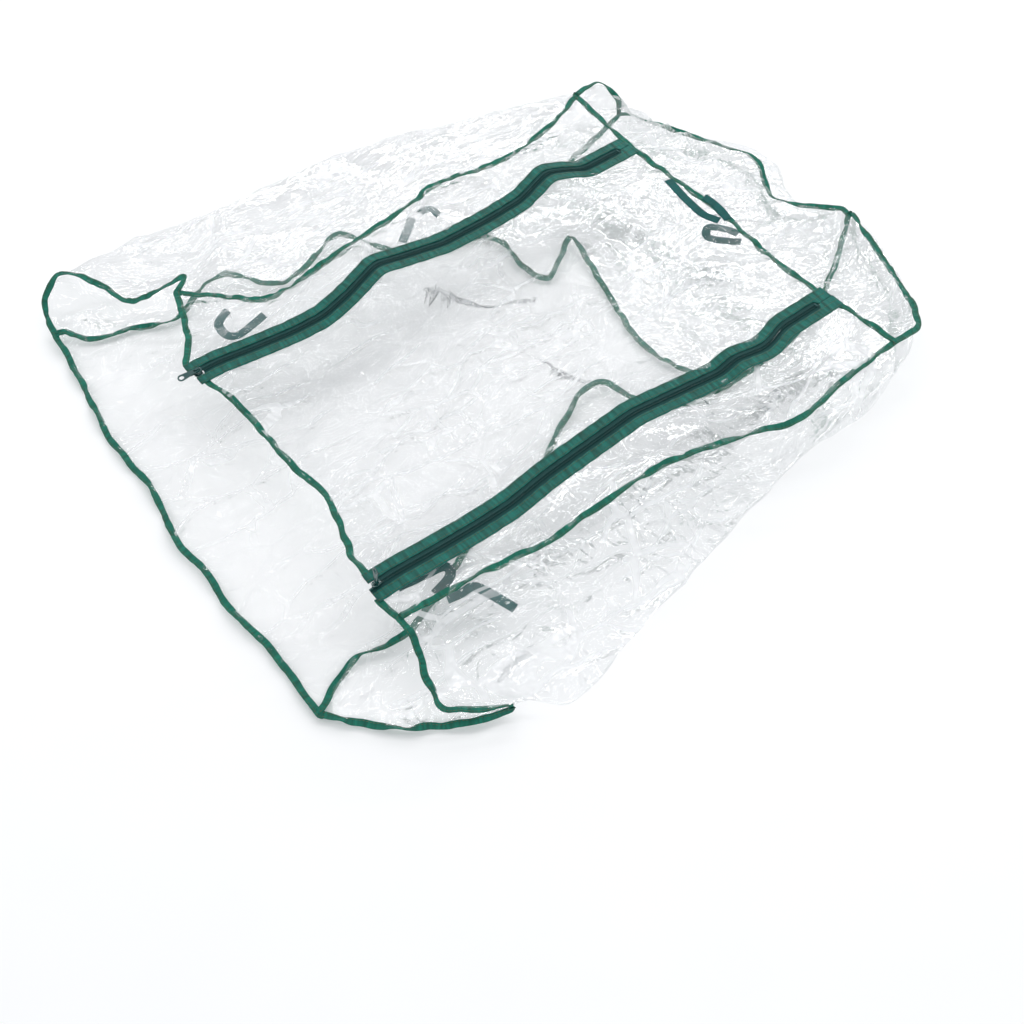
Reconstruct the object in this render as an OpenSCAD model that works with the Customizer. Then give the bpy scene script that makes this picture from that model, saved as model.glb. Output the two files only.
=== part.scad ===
// Clear cover of a small apex-roofed greenhouse, off its frame and lying collapsed on its back.
// Film panels are joined by ribbon bindings. The door between the two zips lifts on a fold line.
// X runs from the open bottom edge towards the roof, Y across the cover, Z up.
// The origin is on the underside of the back panel, midway between the zips' bottom ends.

/* [Zips] */
// Distance between the centre lines of the two zips
zip_spacing = 410; // [396:1:420]
// Length of the coil chain from its bottom end to its top stop
zip_length = 724; // [715:1:730]
// Height of the zips' tape above the surface the cover lies on
zip_height = 90; // [86:1:94]
// Width of one coil row
coil_w = 2.6; // [2:0.1:3]
// Height of a coil row above its tape
coil_h = 2.6; // [2:0.1:3]
// Distance from a zip's centre line to the near edge of each facing ribbon
facing_in = 7.5; // [6.5:0.1:9]
// Width of a facing ribbon
facing_w = 14; // [12:0.5:15]
// Thickness of the tape and of a facing ribbon
ribbon_t = 1.2; // [1:0.1:1.4]

/* [Door] */
// Distance from the zips' bottom ends to the line that the door folds on
door_fold_x = 700; // [690:1:704]
// How far the closed door sags between its zips
door_sag = 22; // [0:1:35]

/* [Sheet] */
// Thickness that the film panels are drawn with
film_t = 1.2; // [1:0.1:1.6]
// Gap between a seam line and the edge of each film panel beside it
seam_inset = 7; // [6.5:0.5:9]

/* [Bindings] */
// Width of the binding ribbon on seams and hems
binding_w = 9; // [7:0.5:10]
// Thickness of the folded binding
binding_t = 1.6; // [1.2:0.1:2]
// Width of the tie straps
tie_w = 13; // [10:0.5:14]

/* [Sliders] */
// Length of a slider along its zip
slider_l = 11.5; // [10:0.1:12]
// Length of a pull tab from its pivot to its free end
pull_l = 28; // [24:1:29]
// Width of a pull tab at its free end
pull_w = 10.5; // [9:0.5:12]
// Radius of the hole in a pull tab's free end
pull_hole_r = 3.4; // [2.5:0.1:3.6]
// Angle of the right pull tab, counted up from flat towards the bottom edge
right_pull_angle = 95; // [0:1:97]

/* [Hidden] */
$fn = 48;

film_colour = [0.88, 0.92, 0.92, 0.35];
binding_colour = [0.05, 0.42, 0.32];
facing_colour = [0.04, 0.34, 0.28];
tape_colour = [0.02, 0.26, 0.22];
pull_colour = [0.03, 0.24, 0.22];
tie_colour = [0.04, 0.24, 0.24];

zip_y = zip_spacing / 2;
band_out = facing_in + facing_w;          // from a zip's centre line to the edge of its band
row_gap = 0.6;                            // from a zip's centre line to the side of a coil row
join_gap = 0.3;                           // clearance between a film edge and its tape
slider_end_gap = 0.5;                     // clearance between a slider and what stops it
slider_x = slider_l / 2 + slider_end_gap; // centre of a closed zip's slider
inner_row_x = slider_l + 2 * slider_end_gap;
facing_top_x = 744;                       // where the zip bands end, just below the top seam
tape_bottom_x = -4;
plate_t = 1.2;                            // thickness of a slider's plates
channel_h = 0.4;                          // clearance of the slider's plates over coil and tape
slider_top = ribbon_t / 2 + coil_h + channel_h;
slider_low = -ribbon_t / 2 - channel_h - plate_t;
roof_bulge = 60;                          // how far the film swells out behind the ridge
fold_depth = 6;                           // height of the turned edge at the outer folds
bridge_w = 2.4;
bridge_slot_h = 2.2;
pivot_up = slider_top + plate_t + bridge_slot_h / 2;
pull_t = 1.4;
pull_bar_r = 0.8;

// ---- Seam lines, each from the bottom edge to the roof or from left to right ----
corner_front_left = [58, 360, 82];
corner_front_right = [5, -250, 80];
corner_back_left = [-95, 490, 20];
corner_back_right = [-120, -260, 8];
eave_front_left = [755, 340, 100];
eave_front_right = [770, -310, 80];
eave_back_left = [505, 258, 8];
eave_back_right = [600, -190, 8];
ridge_left = [815, 295, 70];
ridge_right = [968, -62, 30];

front_left_seam = [
    corner_front_left, [115, 316, 74], [155, 287, 72], [245, 285, 80], [335, 290, 88],
    [415, 300, 94], [475, 315, 90], [580, 297, 90], [690, 315, 95], eave_front_left
];
front_right_seam = [
    corner_front_right, [65, -255, 80], [125, -258, 80], [210, -270, 76], [290, -275, 84],
    [385, -278, 84], [485, -295, 77], [575, -325, 80], [665, -312, 73], eave_front_right
];
front_top_left = [eave_front_left, [752, 280, 96], [751, 230, 92]];
front_top_middle = [[750, 180, 90], [757, 80, 86], [760, 0, 84], [755, -100, 80], [755, -180, 84]];
front_top_right = [[760, -230, 85], [766, -275, 83], eave_front_right];
front_top_seam = concat(front_top_left, front_top_middle, front_top_right);
back_left_seam = [
    corner_back_left, [-65, 432, 10], [-5, 413, 8], [55, 390, 9], [110, 410, 20], [155, 410, 22],
    [205, 358, 12], [265, 362, 16], [330, 383, 20], [380, 315, 9], [430, 285, 8], eave_back_left
];
back_right_seam = [
    corner_back_right, [-50, -227, 8], [0, -240, 15], [60, -225, 12], [180, -170, 8],
    [295, -140, 8], [365, -105, 9], [420, -80, 15], [456, -86, 18], [475, -135, 12],
    [525, -178, 8], eave_back_right
];
back_top_seam = [
    eave_back_left, [522, 225, 9], [515, 165, 8], [528, 125, 9], [570, 145, 15], [605, 162, 18],
    [590, 90, 10], [570, 20, 8], [552, -50, 8], [558, -110, 8], [578, -155, 8], eave_back_right
];
// The right side's film edge cuts across the hook in the back right seam
right_side_back_edge = [
    corner_back_right, [-50, -227, 8], [0, -240, 15], [60, -225, 12], [180, -170, 8], [295, -140, 8],
    [365, -110, 9], [425, -115, 10], [470, -165, 8], [530, -196, 8], eave_back_right
];
// The hooked back top seam lies between these two smoother film edges
back_panel_top = [
    eave_back_left, [506, 215, 8], [500, 160, 8], [515, 108, 8], [560, 85, 8],
    [558, 30, 8], [540, -45, 8], [545, -110, 8], [566, -155, 8], eave_back_right
];
roof_rear_edge = [
    eave_back_left, [536, 240, 9], [545, 200, 9], [590, 190, 12], [628, 150, 12],
    [604, 70, 8], [580, 0, 8], [568, -60, 8], [572, -110, 8], [590, -150, 8], eave_back_right
];
ridge_seam = [
    ridge_left, [850, 285, 45], [910, 205, 26], [945, 120, 25], [920, 70, 20],
    [908, 35, 20], [925, 0, 22], [955, -38, 26], ridge_right
];
left_front_gable_seam = [eave_front_left, [795, 340, 105], [812, 318, 95], ridge_left];
right_front_gable_seam = [
    eave_front_right, [825, -305, 70], [860, -270, 60], [890, -225, 47], [925, -160, 36], ridge_right
];
left_rear_gable_seam = [ridge_left, [760, 300, 35], [640, 285, 14], eave_back_left];
right_rear_gable_seam = [ridge_right, [860, -130, 14], [740, -180, 9], eave_back_right];

// ---- Edges of the open bottom, and the outer folds of the two sides ----
left_fold = [
    [-45, 508, 68], [60, 534, 50], [180, 530, 40], [300, 526, 40], [430, 522, 40],
    [605, 470, 45], [740, 415, 58], [812, 362, 70], [838, 318, 58]
];
right_fold = [
    [60, -395, 20], [88, -403, 17], [122, -431, 14], [265, -402, 13], [495, -355, 15],
    [695, -330, 20], [810, -318, 26], [895, -250, 22], [950, -165, 20], [985, -70, 18]
];
// Film edge of each side at the roof, just outside the front gable seam
left_gable_edge = [eave_front_left, [795, 357, 98], [828, 334, 84], left_fold[8]];
right_gable_edge = [
    eave_front_right, [826, -321, 62], [872, -281, 49], [908, -230, 36], [948, -158, 24], right_fold[9]
];

left_hem_upper = [
    corner_front_left, [80, 378, 86], [45, 390, 72], [5, 415, 55], [-12, 462, 60], left_fold[0]
];
left_hem_lower = [left_fold[0] - [0, 0, fold_depth], [-78, 508, 45], corner_back_left];
right_hem_upper = [
    corner_front_right, [5, -280, 70], [-8, -322, 48], [-8, -352, 30], [22, -372, 22], right_fold[0]
];
right_hem_lower = [
    right_fold[0] - [0, 0, fold_depth], [20, -382, 13], [-30, -352, 9], [-75, -315, 8], corner_back_right
];
back_hem_line = [
    corner_back_left, [-100, 420, 10], [-112, 325, 8], [-122, 240, 8], [-118, 140, 8],
    [-132, 50, 10], [-126, -20, 9], [-130, -75, 9], [-120, -150, 8], corner_back_right
];
strip_left_y = zip_y + band_out + join_gap;
strip_right_y = -strip_left_y;
door_y = zip_y - band_out - join_gap;
left_strip_hem_line = [[0, strip_left_y, zip_height], [25, 265, 90], [45, 320, 85], corner_front_left];
right_strip_hem_line = [[-3, strip_right_y, zip_height], [0, -238, 85], corner_front_right];
door_hem_line = [
    [8, door_y, zip_height], [22, 155, 76], [28, 110, 66], [30, 55, 60], [32, 5, 62],
    [36, -45, 71], [22, -105, 79], [8, -150, 85], [6, -door_y, zip_height]
];

// ---- Tie straps ----
left_lower_tie_line = [[104, 308, 60], [84, 302, 52], [84, 282, 46], [100, 272, 46], [142, 276, 54]];
left_middle_tie_lines = [
    [[402, 286, 80], [390, 278, 74], [370, 266, 66]],
    [[418, 288, 80], [438, 292, 74], [446, 280, 66]]
];
right_lower_tie_lines = [
    [[35, -200, 50], [70, -203, 46], [98, -208, 45], [96, -222, 43], [68, -230, 41]],
    [[74, -246, 44], [92, -252, 47], [110, -258, 49], [130, -305, 42]]
];
top_outer_tie_lines = [
    [[737, 105, 97], [729, 60, 97], [726, 20, 97], [734, -6, 98]],
    [[742, 36, 109], [748, 14, 103], [744, -14, 100]]
];
top_inner_tie_line = [[772, -14, 58], [768, 12, 52], [756, 30, 47], [744, 14, 45], [770, -24, 50]];

// ---- Bindings: line, steps, and how far each stops short of the corners at its ends ----
front_left = [front_left_seam, 24, 11, 16];
front_right = [front_right_seam, 24, 10, 10];
front_top = [front_top_seam, 24, 0, 0];
ridge = [ridge_seam, 24, 22, 14];
back_top = [back_top_seam, 26, 12, 16];
back_left = [back_left_seam, 26, 36, 7];
back_right = [back_right_seam, 26, 14, 7];
left_front_gable = [left_front_gable_seam, 8, 9, 16];
right_front_gable = [right_front_gable_seam, 14, 9, 12];
left_rear_gable = [left_rear_gable_seam, 10, 11, 12];
right_rear_gable = [right_rear_gable_seam, 10, 16, 12];
left_strip_edge = [left_strip_hem_line, 8, 5, 10];
right_strip_edge = [right_strip_hem_line, 4, 3, 9];
door_edge = [door_hem_line, 16, 4, 2];
left_side_edge = [concat(left_hem_upper, [for (k = [1, 2]) left_hem_lower[k]]), 24, 0, 7];
right_side_edges = [[right_hem_upper, 16, 0, 7], [right_hem_lower, 14, 9, 10]];
back_edge = [back_hem_line, 24, 36, 0];

// ---- Curves and sheets ----
function lerp(a, b, u) = a + (b - a) * u;
function last(list) = list[len(list) - 1];
function unit(v) = v / norm(v);

// Smooth curve through every point of a list; u runs from 0 to 1
function curve(p, u) =
    let (n = len(p) - 1)
    let (k = min(floor(u * n), n - 1))
    let (f = u * n - k)
    let (a = p[max(k - 1, 0)], b = p[k], c = p[k + 1], d = p[min(k + 2, n)])
    b + 0.5 * f * ((c - a) + f * ((2 * a - 5 * b + 4 * c - d) + f * (3 * (b - c) + d - a)));

// Sheet stretched on four edge curves; sides start[0] to end[0] and start[1] to end[1] run along t
function patch(start, end, left, right, s, t) =
    lerp(curve(start, s), curve(end, s), t)
    + lerp(curve(left, t), curve(right, t), s)
    - lerp(lerp(start[0], last(start), s), lerp(end[0], last(end), s), t);

function left_of(v) = unit([-v.y, v.x, 0]);

// Point at given distances from two edges that meet in a corner, given the edges' inward normals
function inset_corner(p, a, b, gap_a, gap_b) =
    let (c = a * b)
    abs(c) > 0.85
        ? p + max(gap_a, gap_b) * unit(a + b)
        : p + (a * (gap_a - gap_b * c) + b * (gap_b - gap_a * c)) / (1 - c * c);

// Edge moved to its left by a gap, or to its right by a negative one, between two corners
function inset_edge(line, gap, first, final) =
    let (n = 2 * (len(line) - 1))
    concat([first], [
        for (k = [1 : n - 1])
            let (u = k / n)
            let (ahead = curve(line, u + 0.01) - curve(line, u - 0.01))
            curve(line, u) + gap * left_of(ahead)
    ], [final]);

// Grid of points on a patch. gaps lists how far the start, end, left and right edges are pulled in
function patch_grid(start, end, left, right, gaps, rows, columns) =
    let (n = len(start) - 1, m = len(end) - 1, p = len(left) - 1, q = len(right) - 1)
    let (turn = sign(cross(start[n] - start[0], left[p] - left[0]).z))
    let (start_left = inset_corner(start[0],
        turn * left_of(start[1] - start[0]), -turn * left_of(left[1] - left[0]), gaps[0], gaps[2]))
    let (start_right = inset_corner(start[n],
        turn * left_of(start[n] - start[n - 1]), turn * left_of(right[1] - right[0]), gaps[0], gaps[3]))
    let (end_left = inset_corner(end[0],
        -turn * left_of(end[1] - end[0]), -turn * left_of(left[p] - left[p - 1]), gaps[1], gaps[2]))
    let (end_right = inset_corner(end[m],
        -turn * left_of(end[m] - end[m - 1]), turn * left_of(right[q] - right[q - 1]), gaps[1], gaps[3]))
    let (a = inset_edge(start, turn * gaps[0], start_left, start_right))
    let (b = inset_edge(end, -turn * gaps[1], end_left, end_right))
    let (c = inset_edge(left, -turn * gaps[2], start_left, end_left))
    let (d = inset_edge(right, turn * gaps[3], start_right, end_right))
    [for (i = [0 : rows]) [for (j = [0 : columns]) patch(a, b, c, d, j / columns, i / rows)]];

function grid_normal(g, i, j) =
    let (rows = len(g) - 1, columns = len(g[0]) - 1)
    let (along = g[min(i + 1, rows)][j] - g[max(i - 1, 0)][j])
    let (across = g[i][min(j + 1, columns)] - g[i][max(j - 1, 0)])
    unit(cross(across, along));

// Closed shell of even thickness around a grid of points
module shell(g, thickness) {
    rows = len(g);
    columns = len(g[0]);
    count = rows * columns;
    half = thickness / 2;
    upper = [for (i = [0 : rows - 1], j = [0 : columns - 1]) g[i][j] + half * grid_normal(g, i, j)];
    lower = [for (i = [0 : rows - 1], j = [0 : columns - 1]) g[i][j] - half * grid_normal(g, i, j)];
    skin = [
        for (i = [0 : rows - 2], j = [0 : columns - 2])
            let (a = i * columns + j, b = a + 1, c = a + columns, d = c + 1)
            each [[a, d, b], [a, c, d], [count + a, count + b, count + d], [count + a, count + d, count + c]]
    ];
    rim = concat(
        [for (j = [0 : columns - 1]) j],
        [for (i = [1 : rows - 1]) i * columns + columns - 1],
        [for (j = [columns - 2 : -1 : 0]) (rows - 1) * columns + j],
        [for (i = [rows - 2 : -1 : 1]) i * columns]
    );
    edge = [
        for (k = [0 : len(rim) - 1])
            let (a = rim[k], b = rim[(k + 1) % len(rim)])
            each [[a, b, count + b], [a, count + b, count + a]]
    ];
    polyhedron(concat(upper, lower), concat(skin, edge));
}

// Flat ribbon along a curve, trimmed by a distance at each end
module ribbon(line, width, thickness, steps, trim_start, trim_end) {
    first = trim_start / (norm(line[1] - line[0]) * (len(line) - 1));
    final = 1 - trim_end / (norm(last(line) - line[len(line) - 2]) * (len(line) - 1));
    centre = [for (k = [0 : steps]) curve(line, lerp(first, final, k / steps))];
    rings = [
        for (k = [0 : steps])
            let (ahead = centre[min(k + 1, steps)] - centre[max(k - 1, 0)])
            let (side = unit([-ahead.y, ahead.x, 0]) * width / 2)
            [centre[k] + side, centre[k] - side]
    ];
    shell(rings, thickness);
}

// A binding is listed as its line, its number of steps, and how far it stops short at each end
module binding(b) {
    color(binding_colour) ribbon(b[0], binding_w, binding_t, b[1], b[2], b[3]);
}

// ---- Film panels ----
function sagged(g, depth) = [
    for (i = [0 : len(g) - 1]) [
        for (j = [0 : len(g[0]) - 1])
            let (s = j / (len(g[0]) - 1), t = i / (len(g) - 1))
            g[i][j] - [0, 0, depth * pow(sin(180 * s), 2) * sin(180 * t)]
    ]
];

// The middle of the back panel lies flat on the surface, and only its edges rise to the seams
function laid_flat(g) = [
    for (i = [0 : len(g) - 1]) [
        for (j = [0 : len(g[0]) - 1])
            let (s = j / (len(g[0]) - 1), t = i / (len(g) - 1))
            let (rise = max(0, 1 - 8 * min(s, 1 - s, t, 1 - t)))
            let (p = g[i][j])
            [p.x, p.y, lerp(film_t / 2, p.z, rise)]
    ]
];

// Just behind the ridge the film swells out and down before it turns under
function turned_under(g, depth) = [
    for (i = [0 : len(g) - 1]) [
        for (j = [0 : len(g[0]) - 1])
            let (s = j / (len(g[0]) - 1), t = i / (len(g) - 1))
            let (p = g[i][j])
            let (out = depth * sin(180 * t) * sin(min(180 * s / 0.3, 180)))
            [p.x + out, p.y, max(1.5, p.z * (1 - 0.55 * min(1, s / 0.15)))]
    ]
];

module film(g) {
    color(film_colour) shell(g, film_t);
}

module door_panel() {
    fold_line = [[door_fold_x, door_y, zip_height], [door_fold_x, -door_y, zip_height]];
    left_edge = [door_hem_line[0], fold_line[0]];
    right_edge = [last(door_hem_line), fold_line[1]];
    grid = patch_grid(door_hem_line, fold_line, left_edge, right_edge, [seam_inset, 0, 0, 0], 20, 10);
    film(sagged(grid, door_sag));
}

module door_header() {
    fold_line = [
        [door_fold_x + join_gap, door_y, zip_height], [door_fold_x + join_gap, -door_y, zip_height]
    ];
    top = [for (k = [0 : 8]) curve(front_top_middle, k / 8)];
    left_edge = [fold_line[0], top[0]];
    right_edge = [fold_line[1], last(top)];
    film(patch_grid(fold_line, top, left_edge, right_edge, [0, seam_inset, 0, 0], 3, 10));
}

module left_front_strip() {
    zip_edge = [left_strip_hem_line[0], [751, strip_left_y, 92]];
    top = [zip_edge[1], [752, 280, 96], eave_front_left];
    gaps = [seam_inset, seam_inset, 0, seam_inset];
    grid = patch_grid(left_strip_hem_line, top, zip_edge, front_left_seam, gaps, 24, 4);
    film(grid);
}

module right_front_strip() {
    zip_edge = [right_strip_hem_line[0], [760, strip_right_y, 85]];
    bottom = [corner_front_right, [0, -238, 85], zip_edge[0]];
    top = [eave_front_right, [766, -275, 83], zip_edge[1]];
    gaps = [seam_inset, seam_inset, seam_inset, 0];
    grid = patch_grid(bottom, top, front_right_seam, zip_edge, gaps, 24, 3);
    film(grid);
}

function reversed(p) = [for (k = [len(p) - 1 : -1 : 0]) p[k]];

// A side runs out from its front seam to its outer fold, and back under to its back seam
function side_grid(front, fold, back, hem_upper, hem_lower, gable_edge, gable_rear) =
    let (gaps_upper = [seam_inset + 1, 0, seam_inset, 0])
    let (gaps_lower = [seam_inset, seam_inset + 2, 0, seam_inset + 4])
    let (turned = [for (p = fold) p - [0, 0, fold_depth]])
    let (low_end = [for (k = [1 : len(gable_rear) - 1]) gable_rear[k]])
    let (upper = patch_grid(hem_upper, gable_edge, front, fold, gaps_upper, 24, 5))
    let (lower = patch_grid(hem_lower, concat([last(turned)], low_end), turned, back, gaps_lower, 24, 5))
    [for (i = [0 : len(upper) - 1]) concat(upper[i], lower[i])];

function mirrored_rows(g) = [for (row = g) reversed(row)];

module left_side_panel() {
    grid = side_grid(front_left_seam, left_fold, back_left_seam,
        left_hem_upper, left_hem_lower, left_gable_edge, left_rear_gable_seam);
    film(mirrored_rows(grid));
}

module right_side_panel() {
    grid = side_grid(front_right_seam, right_fold, right_side_back_edge,
        right_hem_upper, right_hem_lower, right_gable_edge, right_rear_gable_seam);
    film(grid);
}

module back_panel() {
    gaps = [seam_inset + 2, 2, seam_inset + 2, seam_inset + 2];
    grid = patch_grid(back_hem_line, back_panel_top, back_left_seam, back_right_seam, gaps, 24, 16);
    film(laid_flat(grid));
}

module roof_front_slope() {
    gaps = [seam_inset + 11, seam_inset + 3, seam_inset, seam_inset + 3];
    grid = patch_grid(left_front_gable_seam, right_front_gable_seam, front_top_seam, ridge_seam, gaps, 20, 5);
    film(grid);
}

module roof_rear_slope() {
    gaps = [seam_inset + 10, seam_inset, -seam_inset - 1, 2];
    grid = patch_grid(left_rear_gable_seam, right_rear_gable_seam, ridge_seam, roof_rear_edge, gaps, 20, 14);
    film(turned_under(grid, roof_bulge));
}

// ---- Zips: a side is 1 on the left and -1 on the right ----
// Flat bar along a zip, from x0 to x1, from near to far off its centre line, outwards or inwards
module zip_bar(side, outwards, x0, x1, near, far, low, high) {
    way = outwards ? side : -side;
    y_near = side * zip_y + way * near;
    y_far = side * zip_y + way * far;
    translate([x0, min(y_near, y_far), zip_height + low])
        cube([x1 - x0, far - near, high - low]);
}

module outer_tape(side) {
    color(tape_colour)
        zip_bar(side, true, tape_bottom_x, facing_top_x, row_gap, band_out, -ribbon_t / 2, ribbon_t / 2);
}

module outer_facing(side) {
    color(facing_colour)
        zip_bar(side, true, tape_bottom_x, facing_top_x, facing_in, band_out, ribbon_t / 2, 1.5 * ribbon_t);
}

module coil_row(side, outwards, x0, x1) {
    color(tape_colour)
        zip_bar(side, outwards, x0, x1, row_gap, row_gap + coil_w, ribbon_t / 2, ribbon_t / 2 + coil_h);
}

module outer_coil(side) {
    coil_row(side, true, slider_end_gap, zip_length);
}

// The door's tape is cut back at its bottom end, where the slider parks beside it
module inner_tape(side) {
    color(tape_colour) {
        zip_bar(side, false, 0, door_fold_x, facing_in, band_out, -ribbon_t / 2, ribbon_t / 2);
        zip_bar(side, false, inner_row_x, door_fold_x, row_gap, facing_in, -ribbon_t / 2, ribbon_t / 2);
    }
}

module inner_facing(side) {
    color(facing_colour)
        zip_bar(side, false, 0, door_fold_x, facing_in, band_out, ribbon_t / 2, 1.5 * ribbon_t);
}

module inner_coil(side) {
    coil_row(side, false, inner_row_x, door_fold_x);
}

// Above the fold line the door's half of the zip stays with the cover
module zip_head(side) {
    x0 = door_fold_x + join_gap;
    color(tape_colour) {
        zip_bar(side, false, x0, facing_top_x, row_gap, band_out, -ribbon_t / 2, ribbon_t / 2);
        zip_bar(side, false, x0, facing_top_x, facing_in, band_out, ribbon_t / 2, 1.5 * ribbon_t);
    }
    coil_row(side, false, x0, zip_length);
}

module stop_bar(side, x0, x1) {
    color(tape_colour)
        translate([x0, side * zip_y - row_gap - coil_w, zip_height + ribbon_t / 2])
            cube([x1 - x0, 2 * (row_gap + coil_w), coil_h]);
}

module top_stop(side) {
    stop_bar(side, zip_length, zip_length + 2.5);
}

// The bottom stop is clamped on the outer tape only
module bottom_stop(side) {
    color(tape_colour)
        zip_bar(side, true, tape_bottom_x, 0, row_gap, row_gap + coil_w, ribbon_t / 2, ribbon_t / 2 + coil_h);
}

// ---- Sliders and pull tabs, drawn about the slider's centre on the zip's centre line ----
slider_outline = [
    [-0.50, 0.00], [-0.44, 0.22], [-0.26, 0.36], [0.10, 0.36], [0.50, 0.29],
    [0.50, -0.29], [0.10, -0.36], [-0.26, -0.36], [-0.44, -0.22]
];
slider_half_w = 0.36 * slider_l;

module slider_plate(z) {
    translate([0, 0, z]) linear_extrude(plate_t) polygon(slider_l * slider_outline);
}

// A rim hangs from each long side of the top plate, outside the coil and above the tape
module slider_rim(way) {
    rim_y = way > 0 ? row_gap + coil_w + 0.2 : -slider_half_w + 0.1;
    translate([-0.2 * slider_l, rim_y, ribbon_t / 2 + channel_h])
        cube([0.45 * slider_l, slider_half_w - row_gap - coil_w - 0.3, coil_h]);
}

// The bridge arches along the slider over the pull tab's bar
module slider_bridge() {
    slot_l = 4.6;
    post_l = 1.3;
    bridge_top_t = 1.2;
    translate([0, bridge_w / 2, slider_top + plate_t]) rotate([90, 0, 0]) linear_extrude(bridge_w)
        difference() {
            polygon([
                [-slot_l / 2 - post_l, 0], [-slot_l / 2 - 0.4, bridge_slot_h + bridge_top_t],
                [slot_l / 2 + 0.4, bridge_slot_h + bridge_top_t], [slot_l / 2 + post_l, 0]
            ]);
            translate([-slot_l / 2, 0]) square([slot_l, bridge_slot_h]);
        }
}

module slider(side) {
    color(pull_colour) translate([slider_x, side * zip_y, zip_height]) {
        slider_plate(slider_top);
        slider_plate(slider_low);
        // Post between the plates, in the gap between the two coil rows
        translate([-0.35 * slider_l, -0.35, slider_low])
            cube([0.5 * slider_l, 0.7, slider_top - slider_low + plate_t]);
        slider_rim(1);
        slider_rim(-1);
        slider_bridge();
    }
}

// Pull tab pointing along -X: a bar under the bridge, two arms, and a plate with a round hole
module pull_tab() {
    arm_in = bridge_w / 2 + 0.4;
    arm_w = 1.7;
    window_l = 5.4;
    end_r = pull_w / 2;
    rotate([90, 0, 0]) cylinder(r = pull_bar_r, h = 2 * (arm_in + arm_w), center = true);
    for (way = [-1, 1])
        translate([-window_l, way * (arm_in + arm_w / 2) - arm_w / 2, -pull_t / 2])
            cube([window_l, arm_w, pull_t]);
    translate([0, 0, -pull_t / 2]) linear_extrude(pull_t) difference() {
        union() {
            polygon([
                [-window_l, arm_in + arm_w], [-window_l, -arm_in - arm_w],
                [end_r - pull_l, -end_r], [end_r - pull_l, end_r]
            ]);
            translate([end_r - pull_l, 0]) circle(end_r);
        }
        translate([end_r - pull_l, 0]) circle(pull_hole_r);
    }
}

module pull(side, angle) {
    color(pull_colour)
        translate([slider_x, side * zip_y, zip_height + pivot_up]) rotate([0, angle, 0]) pull_tab();
}

module tie(line, steps) {
    color(tie_colour) ribbon(line, tie_w, ribbon_t, steps, 0, 0);
}

// ---- One module for each remaining sub-part ----
module front_left_binding() { binding(front_left); }
module front_right_binding() { binding(front_right); }
module front_top_binding() { binding(front_top); }
module ridge_binding() { binding(ridge); }
module back_top_binding() { binding(back_top); }
module back_left_binding() { binding(back_left); }
module back_right_binding() { binding(back_right); }
module left_front_gable_binding() { binding(left_front_gable); }
module right_front_gable_binding() { binding(right_front_gable); }
module left_rear_gable_binding() { binding(left_rear_gable); }
module right_rear_gable_binding() { binding(right_rear_gable); }
module door_hem() { binding(door_edge); }
module left_strip_hem() { binding(left_strip_edge); }
module right_strip_hem() { binding(right_strip_edge); }
module left_side_hem() { binding(left_side_edge); }
module right_side_hem() { for (b = right_side_edges) binding(b); }
module back_hem() { binding(back_edge); }

module left_lower_tie() { tie(left_lower_tie_line, 12); }
module left_middle_tie() { for (line = left_middle_tie_lines) tie(line, 5); }
module right_lower_tie() { for (line = right_lower_tie_lines) tie(line, 10); }
module top_outer_tie() { for (line = top_outer_tie_lines) tie(line, 8); }
module top_inner_tie() { tie(top_inner_tie_line, 12); }

door_panel();
door_header();
left_front_strip();
right_front_strip();
left_side_panel();
right_side_panel();
back_panel();
roof_front_slope();
roof_rear_slope();
front_left_binding();
front_right_binding();
front_top_binding();
ridge_binding();
back_top_binding();
back_left_binding();
back_right_binding();
left_front_gable_binding();
right_front_gable_binding();
left_rear_gable_binding();
right_rear_gable_binding();
door_hem();
left_strip_hem();
right_strip_hem();
left_side_hem();
right_side_hem();
back_hem();
outer_tape(1);  // left_outer_tape
outer_facing(1);  // left_outer_facing
outer_coil(1);  // left_outer_coil
inner_tape(1);  // left_inner_tape
inner_facing(1);  // left_inner_facing
inner_coil(1);  // left_inner_coil
zip_head(1);  // left_zip_head
top_stop(1);  // left_top_stop
bottom_stop(1);  // left_bottom_stop
slider(1);  // left_slider
pull(1, 0);  // left_pull
outer_tape(-1);  // right_outer_tape
outer_facing(-1);  // right_outer_facing
outer_coil(-1);  // right_outer_coil
inner_tape(-1);  // right_inner_tape
inner_facing(-1);  // right_inner_facing
inner_coil(-1);  // right_inner_coil
zip_head(-1);  // right_zip_head
top_stop(-1);  // right_top_stop
bottom_stop(-1);  // right_bottom_stop
slider(-1);  // right_slider
pull(-1, right_pull_angle);  // right_pull
left_lower_tie();
left_middle_tie();
right_lower_tie();
top_outer_tie();
top_inner_tie();
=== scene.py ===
import math
import bmesh
import bpy
import numpy as np
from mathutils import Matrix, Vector
from mathutils.kdtree import KDTree


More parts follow.
